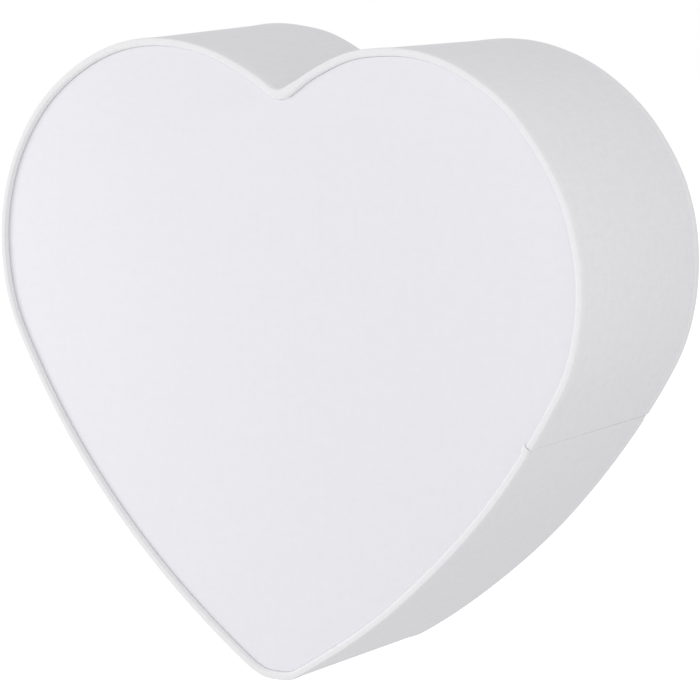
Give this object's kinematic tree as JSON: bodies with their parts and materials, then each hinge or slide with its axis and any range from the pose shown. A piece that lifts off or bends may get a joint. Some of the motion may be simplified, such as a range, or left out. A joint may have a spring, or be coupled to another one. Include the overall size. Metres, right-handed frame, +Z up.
{
  "type": "heart wall light",
  "caption": "Heart-shaped wall light with a white fabric shade on rolled wire rims, a magnetic front panel and screw-in lamps on a wall plate behind it.",
  "frame": {"origin": "on the wall, at the centre of the back face of the wall bar, at the height where the heart is widest", "axes": "+X to the right as seen from the room, +Y into the wall, +Z up"},
  "size_m": [0.3804, 0.123, 0.3444],
  "materials": {
    "shade_laminate": "white fine-weave textile bonded to a stiff backing",
    "roll_fabric": "white textile rolled round the ring wires",
    "panel_fabric": "white fine-weave textile on a translucent sheet",
    "ring_steel": "zinc-plated drawn wire",
    "white_wire": "white powder coat",
    "white_sheet": "white powder coat",
    "zinc_sheet": "bright zinc plate",
    "nickel_nut": "bright nickel plate",
    "magnet_nickel": "nickel-plated magnet",
    "brass_part": "bare brass",
    "terminal_screw_steel": "zinc-plated steel",
    "terminal_plastic": "natural polyamide",
    "bush_rubber": "light grey soft rubber",
    "holder_plastic": "white heat-resistant moulding",
    "core_ceramic": "unglazed steatite",
    "live_insulation": "brown silicone insulation",
    "neutral_insulation": "blue silicone insulation",
    "earth_insulation": "green and yellow insulation",
    "bulb_contact": "tinned contact in a dark insulator",
    "bulb_cap_metal": "nickel-plated screw cap",
    "bulb_body_plastic": "white moulded housing",
    "bulb_opal": "opal diffusing dome"
  },
  "bodies": {
    "wall_unit": {"wall_bar": "zinc_sheet", "wall_plate": "white_sheet", "side_screws": "zinc_sheet", "cable_bush": "bush_rubber", "terminal_block": "terminal_plastic", "terminal_inserts": "brass_part", "terminal_screws": "terminal_screw_steel", "earth_screw": "brass_part", "earth_nut": "zinc_sheet", "earth_tag": "brass_part", "earth_lead": "earth_insulation", "holder_bracket": "white_sheet", "bracket_rivets": "zinc_sheet", "holder_nuts": "brass_part", "upper_stud": "zinc_sheet", "lower_stud": "zinc_sheet", "holder_nipple_left": "brass_part", "holder_nipple_right": "brass_part", "lampholder_cap_left": "holder_plastic", "lampholder_cap_right": "holder_plastic", "lampholder_core_left": "core_ceramic", "lampholder_core_right": "core_ceramic", "lampholder_skirt_left": "holder_plastic", "lampholder_skirt_right": "holder_plastic", "lampholder_contacts_left": "brass_part", "lampholder_contacts_right": "brass_part", "live_lead_left": "live_insulation", "live_lead_right": "live_insulation", "neutral_lead_left": "neutral_insulation", "neutral_lead_right": "neutral_insulation"},
    "shade": {"shade_band": "shade_laminate", "front_ring_wire": "ring_steel", "back_ring_wire": "ring_steel", "front_roll": "roll_fabric", "back_roll": "roll_fabric", "panel_clips": "white_wire", "upper_hanger_tab": "white_wire", "lower_hanger_tab": "white_wire", "upper_rail": "white_wire", "lower_rail": "white_wire"},
    "panel": {"face_panel": "panel_fabric", "panel_magnets": "magnet_nickel"},
    "nut_travel_upper": {"nut_washer_upper": "nickel_nut"},
    "nut_upper": {"thumb_nut_upper": "nickel_nut"},
    "nut_travel_lower": {"nut_washer_lower": "nickel_nut"},
    "nut_lower": {"thumb_nut_lower": "nickel_nut"},
    "bulb_travel_left": {"bulb_tip_left": "bulb_contact"},
    "bulb_left": {"bulb_cap_left": "bulb_cap_metal", "bulb_housing_left": "bulb_body_plastic", "bulb_globe_left": "bulb_opal"},
    "bulb_travel_right": {"bulb_tip_right": "bulb_contact"},
    "bulb_right": {"bulb_cap_right": "bulb_cap_metal", "bulb_housing_right": "bulb_body_plastic", "bulb_globe_right": "bulb_opal"}
  },
  "joints": [
    {"name": "shade_lift_off", "type": "slide", "parent": "wall_unit", "child": "shade", "axis": [0, -1, 0], "range_m": [0, 0.15]},
    {"name": "panel_lift_off", "type": "slide", "parent": "shade", "child": "panel", "axis": [0, -1, 0], "range_m": [0, 0.12]},
    {"name": "nut_upper_travel", "type": "slide", "parent": "shade", "child": "nut_travel_upper", "axis": [0, -1, 0], "range_m": [0, 0.00491]},
    {"name": "nut_upper_turn", "type": "hinge", "parent": "nut_travel_upper", "child": "nut_upper", "pos_m": [0, -0.0225, 0.046], "axis": [0, -1, 0], "range_deg": [0, 2520]},
    {"name": "nut_lower_travel", "type": "slide", "parent": "shade", "child": "nut_travel_lower", "axis": [0, -1, 0], "range_m": [0, 0.00491]},
    {"name": "nut_lower_turn", "type": "hinge", "parent": "nut_travel_lower", "child": "nut_lower", "pos_m": [0, -0.0225, -0.046], "axis": [0, -1, 0], "range_deg": [0, 2520]},
    {"name": "bulb_left_travel", "type": "slide", "parent": "wall_unit", "child": "bulb_travel_left", "axis": [-1, 0, 0], "range_m": [0, 0.01634]},
    {"name": "bulb_left_turn", "type": "hinge", "parent": "bulb_travel_left", "child": "bulb_left", "pos_m": [-0.053, -0.064, 0], "axis": [-1, 0, 0], "range_deg": [0, 1620]},
    {"name": "bulb_right_travel", "type": "slide", "parent": "wall_unit", "child": "bulb_travel_right", "axis": [1, 0, 0], "range_m": [0, 0.01634]},
    {"name": "bulb_right_turn", "type": "hinge", "parent": "bulb_travel_right", "child": "bulb_right", "pos_m": [0.053, -0.064, 0], "axis": [1, 0, 0], "range_deg": [0, 1620]}
  ],
  "couplings": [
    {"joint": "nut_upper_travel", "follows": "nut_upper_turn", "m_per_rad": 0.00011141},
    {"joint": "nut_lower_travel", "follows": "nut_lower_turn", "m_per_rad": 0.00011141},
    {"joint": "bulb_left_travel", "follows": "bulb_left_turn", "m_per_rad": 0.0005776},
    {"joint": "bulb_right_travel", "follows": "bulb_right_turn", "m_per_rad": 0.0005776}
  ]
}
